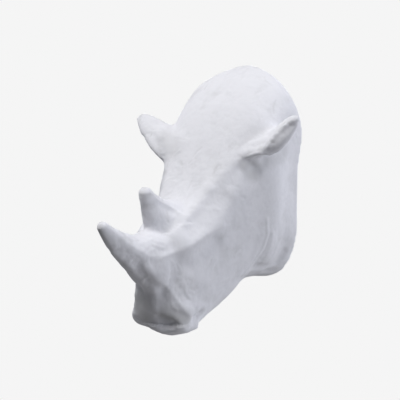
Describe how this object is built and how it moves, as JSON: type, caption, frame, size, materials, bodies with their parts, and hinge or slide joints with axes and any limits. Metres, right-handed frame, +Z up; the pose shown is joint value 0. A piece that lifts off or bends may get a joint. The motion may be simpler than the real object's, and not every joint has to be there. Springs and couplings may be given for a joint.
{
  "type": "papier-mache rhinoceros head wall trophy",
  "caption": "Rhinoceros head of white-painted papier-mache with a flat back, drooping snout, horns and ears, hung on a wall as decoration.",
  "frame": {"origin": "on the flat back, in the middle plane, 166 mm below the top: the point held against the wall", "axes": "+Z up, +Y out of the back into the wall, so the head looks along -Y, and +X towards the animal's left ear"},
  "size_m": [0.2999, 0.3489, 0.3827],
  "materials": {
    "white_paper": "matt white paint over pasted paper strips"
  },
  "bodies": {
    "root": {"rhino_head": "white_paper"}
  },
  "joints": []
}
